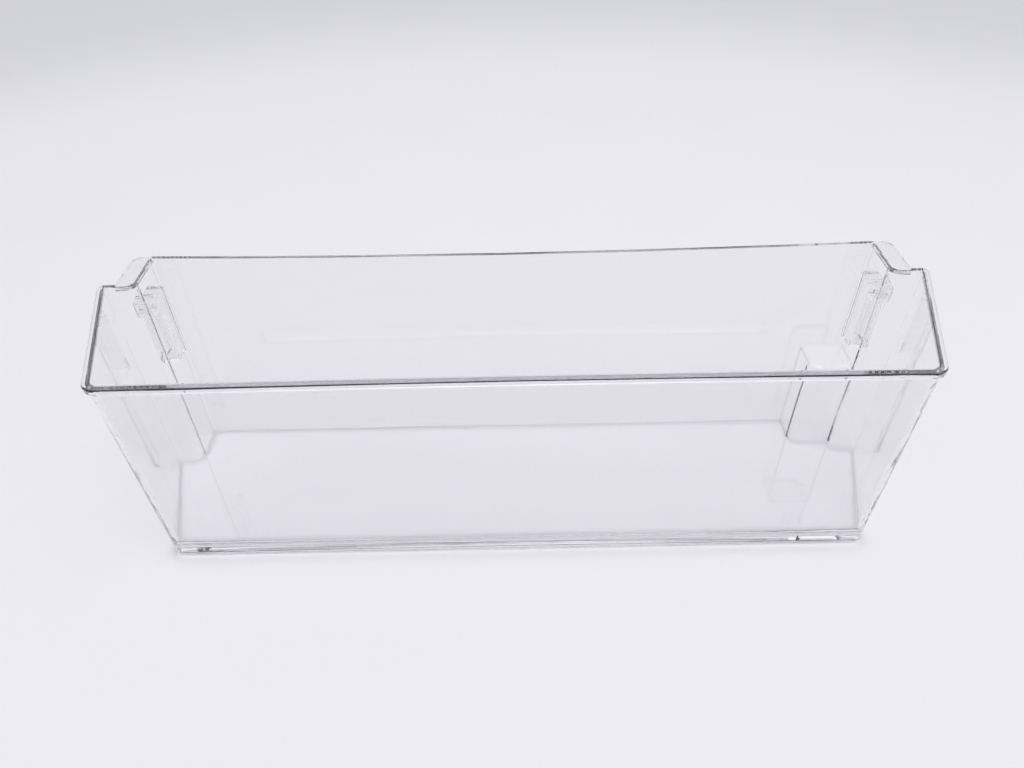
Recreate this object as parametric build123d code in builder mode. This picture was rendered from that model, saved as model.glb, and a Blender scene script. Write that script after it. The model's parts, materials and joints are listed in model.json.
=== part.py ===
from build123d import *
from math import atan, cos
import os

# A clear moulded fridge door shelf. X runs along the door, Y from the room side to the door, Z up.
# The origin is under the middle of the shelf, on the surface that it stands on.

# Overall sizes in millimetres, measured to the sharp corners before rounding
shelf_height = 149.0
shelf_depth = 125.0
front_width = 430.0
rear_width = 486.6

# Section of the moulding, with the lean of each wall given as how far its foot stands in
wall = 2.5
floor_thickness = 2.6
front_rake = 8.2
side_draft = 1.0
rear_draft = 1.5
front_bow = 1.5
rear_bow = 4.5

# Bead along the top of the front and the sides
rim_overhang = 1.8
rim_height = 3.4
rim_round = 1.4

# Stepped rear corners, open to the outside
pocket_width = 20.0
pocket_depth = 31.0

# Roundings of the outer faces, seen from above: at the mouth, and of the side and rear corners at the base
front_corner = 8.5
side_corner = 3.0
pocket_corner = 4.5
rear_corner = 3.0
base_corner = 4.2

# Roundings of the foot: outside, inside, and inside along the thick foot of the front, which is sunk
# a little into the wall and the floor
base_round = 3.6
floor_round = 1.4
foot_round = 15.0
foot_sink = 0.15

# Flat flange over each pocket, with a rolled inner edge
flange_reach = 9.5
flange_thickness = 3.6
flange_corner = 6.0
flange_roll = 0.8
flange_edge = 0.8

# Box rib and stop lug that stand out of each pocket's inner panel
rib_wall = 2.0
rib_depth = 13.9
rib_bottom = 77.0
rib_height = 50.0
rib_corner = 1.6
lug_depth = 8.0
lug_bottom = 119.0
lug_height = 10.0

# Relief in the right rear corner, below the rib
relief_width = 27.0
relief_height = 71.0
relief_corner = 8.0
relief_round = 3.2
relief_setback = 6.0

# How far a cutting shape runs past the faces that it opens, and how near two places count as one
past = 10.0
near = 0.01

# Places of the main faces
front_face = -shelf_depth / 2
rear_face = shelf_depth / 2
pocket_face = rear_face - pocket_depth
panel_face = rear_width / 2 - pocket_width
rib_front = rear_face - rib_depth
relief_face = panel_face - relief_width
side_slope = (rear_width - front_width) / 2 / (pocket_face - front_face)


def side_x(y, inset):
    """Half width of a side wall's line at y, moved in from the outer line of the rim."""
    return front_width / 2 + (y - front_face) * side_slope - inset / cos(atan(side_slope))


def long_edge(start, end, bow):
    """An edge across the shelf, straight or bowed by a small height."""
    if bow:
        ThreePointArc(start, (0, start[1] + bow), end)
    else:
        Line(start, end)


def step_corners(plan):
    """The corners of a plan that lie on the front line of the pockets, from left to right."""
    return plan.vertices().filter_by(lambda corner: abs(corner.Y - pocket_face) < near).sort_by(Axis.X)


def shelf_plan(front_inset, side_inset, rear_inset, front_crown, rear_crown, corners):
    """Flat plan of the outer wall faces at one level, with its front, side and rear corners rounded."""
    front = front_face + front_inset
    rear = rear_face - rear_inset
    front_x = side_x(front, side_inset)
    side_end = side_x(pocket_face, side_inset)
    with BuildSketch() as plan:
        with BuildLine():
            long_edge((-front_x, front), (front_x, front), front_crown)
            Polyline(
                (front_x, front),
                (side_end, pocket_face),
                (panel_face, pocket_face),
                (panel_face, rear),
            )
            long_edge((panel_face, rear), (-panel_face, rear), -rear_crown)
            Polyline(
                (-panel_face, rear),
                (-panel_face, pocket_face),
                (-side_end, pocket_face),
                (-front_x, front),
            )
        make_face()
        fillet(plan.vertices().group_by(Axis.Y)[0], corners[0])
        fillet(plan.vertices().group_by(Axis.Y)[-1], corners[2])
        fillet(step_corners(plan)[1:-1], pocket_corner)
        fillet([step_corners(plan)[0], step_corners(plan)[-1]], corners[1])
    return plan.sketch


def relief_plan(inset, corner):
    """Flat plan of the corner relief, grown by an inset on its two inner sides."""
    reach = relief_width + inset + flange_reach + past
    with BuildSketch() as plan:
        with Locations((relief_face - inset, pocket_face + relief_setback - inset)):
            Rectangle(reach, pocket_depth + inset + past, align=Align.MIN)
        fillet(plan.vertices().sort_by(SortBy.DISTANCE)[0], corner)
    return plan.sketch


def box_section(depth, height):
    """Flat section of a hollow rib, a rectangle with its inside left open."""
    with BuildSketch() as section:
        Rectangle(depth, height, align=Align.MIN)
        offset(amount=-rib_wall, mode=Mode.SUBTRACT)
    return section.sketch


# Plans of the outer faces and of the inside, at the base and at the mouth
base_corners = (front_corner, base_corner, base_corner)
mouth_corners = (front_corner, side_corner, rear_corner)
base_plan = shelf_plan(
    rim_overhang + front_rake, rim_overhang + side_draft, rear_draft, 0, 0, base_corners
)
mouth_plan = shelf_plan(rim_overhang, rim_overhang, 0, front_bow, rear_bow, mouth_corners)

with BuildSketch() as base_inside:
    add(base_plan)
    offset(amount=-wall, mode=Mode.REPLACE)

with BuildSketch() as mouth_inside:
    add(mouth_plan)
    offset(amount=-wall, mode=Mode.REPLACE)

# Outer form of the tray, with its foot rounded and the relief cut into it
with BuildPart() as outer_form:
    with BuildSketch():
        add(base_plan)
    with BuildSketch(Plane.XY.offset(shelf_height)):
        add(mouth_plan)
    loft(ruled=True)
    fillet(outer_form.faces().sort_by(Axis.Z)[0].edges(), base_round)
    with BuildSketch(Plane.XY.offset(-past)):
        add(relief_plan(0, relief_corner - wall))
    extrude(amount=past + relief_height - wall, mode=Mode.SUBTRACT)

# Block that the relief leaves standing inside the tray
with BuildPart() as relief_block:
    with BuildSketch():
        add(relief_plan(wall, relief_corner))
    extrude(amount=relief_height)
    fillet(relief_block.faces().sort_by(Axis.Z)[-1].edges(), relief_round)

# Inside of the tray, down to the floor
with BuildPart() as inside_form:
    with BuildSketch():
        add(base_inside.sketch)
    with BuildSketch(Plane.XY.offset(shelf_height)):
        add(mouth_inside.sketch)
    loft(ruled=True)
    split(bisect_by=Plane.XY.offset(floor_thickness), keep=Keep.TOP)
    fillet(inside_form.faces().sort_by(Axis.Z)[0].edges(), floor_round)
    add(relief_block.part, mode=Mode.SUBTRACT)

# Thick foot of the front wall, which runs into the side walls, with a hollow face towards the inside
foot_lean = front_rake / shelf_height
foot_y = front_face + rim_overhang + front_rake + wall - foot_sink
foot_z = floor_thickness - foot_sink
foot_reach = past + foot_round

with BuildPart() as front_foot:
    with BuildSketch(Plane.YZ):
        with Locations((foot_y - wall / 2, foot_z - floor_thickness / 2)):
            Rectangle(foot_round + wall, foot_round + wall, align=Align.MIN)
        with BuildLine():
            FilletPolyline(
                (foot_y - foot_lean * foot_reach, foot_z + foot_reach),
                (foot_y, foot_z),
                (foot_y + foot_reach, foot_z),
                radius=foot_round,
            )
            Polyline(
                (foot_y + foot_reach, foot_z),
                (foot_y + foot_reach, foot_z + foot_reach),
                (foot_y - foot_lean * foot_reach, foot_z + foot_reach),
            )
        make_face(mode=Mode.SUBTRACT)
    extrude(amount=front_width, both=True)
    add(outer_form.part, mode=Mode.INTERSECT)

# Flanges over the pockets, on both sides
with BuildPart() as flanges:
    with BuildSketch(Plane.XY.offset(shelf_height - flange_thickness)) as flange_plan:
        with Locations((panel_face - wall, pocket_face - wall)):
            Rectangle(flange_reach + wall, pocket_depth + wall, align=Align.MIN)
        fillet(flange_plan.vertices().sort_by(SortBy.DISTANCE)[0], pocket_corner + wall)
        fillet(flange_plan.vertices().sort_by(SortBy.DISTANCE)[-1], flange_corner)
    extrude(amount=flange_thickness)
    free_edges = flanges.edges().filter_by(
        lambda edge: edge.center().X > panel_face and edge.center().Y > pocket_face
    )
    fillet(free_edges.group_by(Axis.Z)[-1], flange_edge)
    mirror(about=Plane.YZ)

# Box ribs with their stop lugs, drawn in profile on the inner panels and open to the outside
with BuildPart() as ribs:
    with BuildSketch(Plane.YZ.offset(panel_face - rear_corner)):
        with Locations((rib_front, rib_bottom)):
            add(box_section(rib_depth, rib_height))
        with Locations((rib_front - lug_depth, lug_bottom)):
            add(box_section(lug_depth + rib_wall, lug_height))
    extrude(amount=rear_corner + flange_reach)
    outer_foot = ribs.edges().filter_by(Axis.Y).group_by(Axis.Z)[0].sort_by(Axis.X)[-1]
    fillet(outer_foot, rib_corner)
    mirror(about=Plane.YZ)

# Rim bead, which ends square at the rear corner of each side wall
with BuildSketch() as rim_plan:
    add(mouth_plan)
    offset(amount=rim_overhang, mode=Mode.REPLACE)
    add(mouth_inside.sketch, mode=Mode.SUBTRACT)
    open_front = pocket_face - wall - side_corner
    open_rear = rear_face + past
    open_front_x = side_x(open_front, rim_overhang + wall)
    open_rear_x = side_x(open_rear, rim_overhang + wall)
    with BuildLine():
        Polyline(
            (-open_front_x, open_front),
            (open_front_x, open_front),
            (open_rear_x, open_rear),
            (-open_rear_x, open_rear),
            close=True,
        )
    make_face(mode=Mode.SUBTRACT)

with BuildPart() as rim:
    with BuildSketch(Plane.XY.offset(shelf_height - rim_height)):
        add(rim_plan.sketch)
    extrude(amount=rim_height)
    fillet(rim.faces().sort_by(Axis.Z)[-1].edges(), rim_round)

# Material that the rolled inner edge of the flanges takes away
with BuildSketch() as roll_plan:
    with Locations((panel_face - wall, pocket_face - wall)):
        Rectangle(flange_reach + wall, pocket_depth, align=Align.MIN)
    fillet(roll_plan.vertices().sort_by(SortBy.DISTANCE)[0], pocket_corner + wall)

with BuildPart() as rolled_edge:
    with BuildSketch(Plane.XY.offset(shelf_height - flange_roll - past)):
        add(roll_plan.sketch)
    extrude(amount=flange_roll + past)
    top_edges = rolled_edge.faces().sort_by(Axis.Z)[-1].edges()
    fillet(top_edges.sort_by(Axis.Y)[:-1].sort_by(Axis.X)[:-1], flange_roll)

with BuildPart() as roll_cut:
    with BuildSketch(Plane.XY.offset(shelf_height - flange_roll - past)):
        add(roll_plan.sketch)
    extrude(amount=flange_roll + past)
    add(rolled_edge.part, mode=Mode.SUBTRACT)
    mirror(about=Plane.YZ)

# The shelf: everything above is one moulding
with BuildPart() as door_shelf:
    add(outer_form.part)
    add(flanges.part)
    add(ribs.part)
    add(inside_form.part, mode=Mode.SUBTRACT)
    add(front_foot.part)
    with BuildSketch(Plane.XY.offset(shelf_height - rim_round)):
        add(rim_plan.sketch)
    extrude(amount=rim_round, mode=Mode.SUBTRACT)
    add(rim.part)
    add(roll_cut.part, mode=Mode.SUBTRACT)

os.makedirs("parts", exist_ok=True)
door_shelf.part.label = "door_shelf"
export_step(door_shelf.part, "parts/door_shelf.step")
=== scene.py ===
import json
from math import pi, radians

import bmesh
import bpy
from mathutils import Matrix, Vector

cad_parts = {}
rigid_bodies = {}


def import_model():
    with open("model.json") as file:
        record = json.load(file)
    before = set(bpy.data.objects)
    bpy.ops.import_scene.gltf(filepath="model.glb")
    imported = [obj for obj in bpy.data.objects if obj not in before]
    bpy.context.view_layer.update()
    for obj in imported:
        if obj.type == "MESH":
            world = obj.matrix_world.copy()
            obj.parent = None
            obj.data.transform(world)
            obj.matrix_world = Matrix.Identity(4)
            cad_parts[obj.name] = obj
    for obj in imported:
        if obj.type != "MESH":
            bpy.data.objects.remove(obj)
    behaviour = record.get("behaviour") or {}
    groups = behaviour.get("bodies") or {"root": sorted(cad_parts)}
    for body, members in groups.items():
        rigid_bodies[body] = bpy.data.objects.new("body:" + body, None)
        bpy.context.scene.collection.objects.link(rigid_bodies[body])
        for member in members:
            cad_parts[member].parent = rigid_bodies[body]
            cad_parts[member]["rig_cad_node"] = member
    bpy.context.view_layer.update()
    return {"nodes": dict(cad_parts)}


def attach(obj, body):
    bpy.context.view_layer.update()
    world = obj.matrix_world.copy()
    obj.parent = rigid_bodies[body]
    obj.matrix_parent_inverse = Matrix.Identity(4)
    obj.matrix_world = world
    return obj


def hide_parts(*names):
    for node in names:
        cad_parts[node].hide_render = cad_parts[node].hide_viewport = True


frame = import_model()


class Value:
    """One socket of a node tree. Arithmetic on it adds Math nodes."""

    def __init__(self, tree, socket):
        self.tree = tree
        self.socket = socket

    def math(self, operation, *values):
        return self.tree.node("ShaderNodeMath", {"operation": operation}, dict(enumerate(values)))

    def __add__(self, other):
        return self.math("ADD", self, other)

    def __sub__(self, other):
        return self.math("SUBTRACT", self, other)

    def __rsub__(self, other):
        return self.math("SUBTRACT", other, self)

    def __mul__(self, other):
        return self.math("MULTIPLY", self, other)

    __radd__ = __add__
    __rmul__ = __mul__

    def rise(self, low, high):
        """0 below low, 1 above high and a smooth step between them."""
        limits = {"Value": self, "From Min": low, "From Max": high}
        return self.tree.node("ShaderNodeMapRange", {"interpolation_type": "SMOOTHSTEP"}, limits)


class Tree:
    """A node tree of a material or of the world, emptied and filled by the one method node."""

    def __init__(self, owner):
        owner.use_nodes = True
        self.tree = owner.node_tree
        self.tree.nodes.clear()

    def node(self, kind, settings=None, sockets=None, output=0):
        """Adds a node, sets it, then gives each socket a number, a colour or a link from a Value."""
        made = self.tree.nodes.new(kind)
        for name, setting in (settings or {}).items():
            setattr(made, name, setting)
        for name, value in (sockets or {}).items():
            if isinstance(value, Value):
                self.tree.links.new(value.socket, made.inputs[name])
            else:
                made.inputs[name].default_value = value
        return Value(self, made.outputs[output]) if made.outputs else made

    def noise(self, place, scale, detail):
        """A noise texture's value, around 0.5."""
        return self.node("ShaderNodeTexNoise", {}, {"Vector": place, "Scale": scale, "Detail": detail}, "Fac")

    def blend(self, factor, low, high):
        """A colour between two colours. The Mix node keeps its colour sockets in places 6 and 7."""
        return self.node("ShaderNodeMix", {"data_type": "RGBA"}, {0: factor, 6: low, 7: high}, 2)


# Camera, at the place and with the lens that the photograph's perspective gives
camera_place = Vector((0.0014, -0.3469, 0.3987))
camera_pitch = 0.7219
camera_yaw = -0.0074
camera_roll = -0.0252
focal_pixels = 769.0
image_width = 1024.0
sensor_width = 36.0

bpy.ops.object.camera_add(location=camera_place)
camera = bpy.context.object
camera.name = "camera"
camera.data.sensor_width = sensor_width
camera.data.lens = focal_pixels / image_width * sensor_width
turn = Matrix.Rotation(-camera_yaw, 3, "Z") @ Matrix.Rotation(pi / 2 - camera_pitch, 3, "X")
camera.rotation_euler = (turn @ Matrix.Rotation(camera_roll, 3, "Z")).to_euler()
bpy.context.scene.camera = camera

# Clear plastic: faint flow lines along the shelf, a soft ripple of the mould and worn, duller patches
flow_stretch = (3.0, 30.0, 30.0)
ripple_scale = 18.0
ripple_strength = 0.02
ripple_height = 0.002
wear_scale = 240.0
flow_tint = (0.946, 0.945, 0.948, 1.0)
clear_tint = (0.953, 0.952, 0.954, 1.0)
polish = 0.01
dulling = 0.03
refraction = 1.58
depth_tint = (0.84, 0.83, 0.88, 1.0)
depth_density = 8.0

plastic = bpy.data.materials.new("clear_plastic")
tree = Tree(plastic)
place = tree.node("ShaderNodeTexCoord", output="Object")
along = tree.node("ShaderNodeMapping", {}, {"Vector": place, "Scale": flow_stretch})
flow = tree.noise(along, 1.0, 2.0)
ripple = tree.noise(place, ripple_scale, 1.0)
wear = tree.noise(place, wear_scale, 3.0)
relief = {"Height": ripple, "Strength": ripple_strength, "Distance": ripple_height}
bump = tree.node("ShaderNodeBump", {}, relief, "Normal")
skin = tree.node(
    "ShaderNodeBsdfPrincipled",
    {},
    {
        "Base Color": tree.blend(flow.rise(0.35, 0.65), flow_tint, clear_tint),
        "Roughness": polish + dulling * wear.rise(0.45, 0.75),
        "IOR": refraction,
        "Transmission Weight": 1.0,
        "Normal": bump,
    },
)
inside = tree.node("ShaderNodeVolumeAbsorption", {}, {"Color": depth_tint, "Density": depth_density})
tree.node("ShaderNodeOutputMaterial", {}, {"Surface": skin, "Volume": inside})

# The moulding, a copy of the CAD solid with its doubled vertices joined
weld_distance = 0.000005

node = frame["nodes"]["door_shelf"]
bpy.ops.object.select_all(action="DESELECT")
node.select_set(True)
bpy.context.view_layer.objects.active = node
bpy.ops.object.duplicate()
shelf = bpy.context.object
shelf.name = "shelf_moulding"
shelf.parent = None
del shelf["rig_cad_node"]
bpy.ops.object.mode_set(mode="EDIT")
bpy.ops.mesh.customdata_custom_splitnormals_clear()
bpy.ops.mesh.select_all(action="SELECT")
bpy.ops.mesh.remove_doubles(threshold=weld_distance)
bpy.ops.object.mode_set(mode="OBJECT")

# Rounding of the inner corner under the relief's roof, which the CAD solid leaves sharp
relief_roof = 0.0685
relief_left = 0.1955
relief_front = 0.0368
roof_round = 0.002
roof_steps = 5
hollow_angle = radians(52)
near = 0.0002


def under_roof(vertex):
    """Whether a vertex lies on the underside of the relief's roof."""
    x, y, z = vertex.co
    return abs(z - relief_roof) < near and x > relief_left and y > relief_front


moulding = bmesh.new()
moulding.from_mesh(shelf.data)
hollow_bends = [edge for edge in moulding.edges if edge.calc_face_angle_signed(0.0) < -hollow_angle]
roof_bends = [edge for edge in hollow_bends if all(under_roof(vertex) for vertex in edge.verts)]
bmesh.ops.bevel(
    moulding,
    geom=roof_bends,
    offset=roof_round,
    offset_type="OFFSET",
    segments=roof_steps,
    profile=0.5,
    affect="EDGES",
)
moulding.to_mesh(shelf.data)
moulding.free()

# Smooth roundings and flat walls
smooth_angle = radians(28)
wall_weight = 100

bpy.ops.object.shade_smooth_by_angle(angle=smooth_angle)
weighted = shelf.modifiers.new("flat_walls", "WEIGHTED_NORMAL")
weighted.keep_sharp = True
weighted.weight = wall_weight
bpy.ops.object.modifier_apply(modifier=weighted.name)
shelf.data.materials.clear()
shelf.data.materials.append(plastic)
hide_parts("door_shelf")
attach(shelf, "root")

# Floor of pale paper, just under the shelf, mottled like paper, with painted shade that darkens it far from
# the front where the light falls off
floor_size = 12.0
floor_gap = 0.0004
light_middle = (0, -0.25, 0)
light_falloff_start = 1.0
light_falloff_end = 1.5
mottle_scale = 9.0
mottle_share = 0.05
near_paper = (0.870, 0.863, 0.905, 1.0)
# colour of the paper in painted shade, far from the lit middle
painted_shade_paper = (0.745, 0.741, 0.776, 1.0)

bpy.ops.mesh.primitive_plane_add(size=floor_size, location=(0, 0, -floor_gap))
floor = bpy.context.object
floor.name = "floor"
paper = bpy.data.materials.new("pale_paper")
tree = Tree(paper)
spot = tree.node("ShaderNodeTexCoord", output="Object")
away = tree.node("ShaderNodeVectorMath", {"operation": "DISTANCE"}, {0: spot, 1: light_middle}, "Value")
mottle = tree.noise(spot, mottle_scale, 4.0)
# painted shade growing with distance from the lit middle, plus the paper's own mottle
shade = away.rise(light_falloff_start, light_falloff_end) + mottle_share * mottle.rise(0.3, 0.7)
tone = tree.blend(shade, near_paper, painted_shade_paper)
matte = tree.node("ShaderNodeBsdfDiffuse", {}, {"Color": tone, "Roughness": 0.5})
tree.node("ShaderNodeOutputMaterial", {}, {"Surface": matte})
floor.data.materials.append(paper)

# Room with a dim horizon and a pale sky above it, which draws the dark lines in the rims.
# The camera itself sees an even, pale wall behind the floor.
horizon_glow = 0.05
sky_glow = 1.12
wall_glow = 0.72
sky_tint = (0.97, 0.97, 1.0, 1.0)

world = bpy.data.worlds.new("studio")
bpy.context.scene.world = world
tree = Tree(world)
direction = tree.node("ShaderNodeTexCoord", output="Generated")
height = tree.node("ShaderNodeSeparateXYZ", {}, {"Vector": direction}, "Z")
room = horizon_glow + sky_glow * height.rise(0.2, 0.7)
seen = tree.node("ShaderNodeLightPath", output="Is Camera Ray")
glow = room + seen * (wall_glow - room)
sky = tree.node("ShaderNodeBackground", {}, {"Color": sky_tint, "Strength": glow})
tree.node("ShaderNodeOutputWorld", {}, {"Surface": sky})

# Soft box above the front
lamp_place = (0.25, -0.35, 1.3)
lamp_width = 0.7
lamp_depth = 0.5
lamp_watts = 2.0

bpy.ops.object.light_add(type="AREA", location=lamp_place)
lamp = bpy.context.object
lamp.name = "soft_box"
lamp.data.shape = "RECTANGLE"
lamp.data.size = lamp_width
lamp.data.size_y = lamp_depth
lamp.data.energy = lamp_watts
lamp.rotation_euler = (-lamp.location).to_track_quat("-Z", "Y").to_euler()

# Light runs a long way inside a clear wall, so it may bounce many times
light_bounces = 48
bpy.context.scene.view_settings.view_transform = "Standard"
bpy.context.scene.cycles.max_bounces = light_bounces
bpy.context.scene.cycles.glossy_bounces = light_bounces
bpy.context.scene.cycles.transmission_bounces = light_bounces
bpy.context.scene.cycles.blur_glossy = 0.0
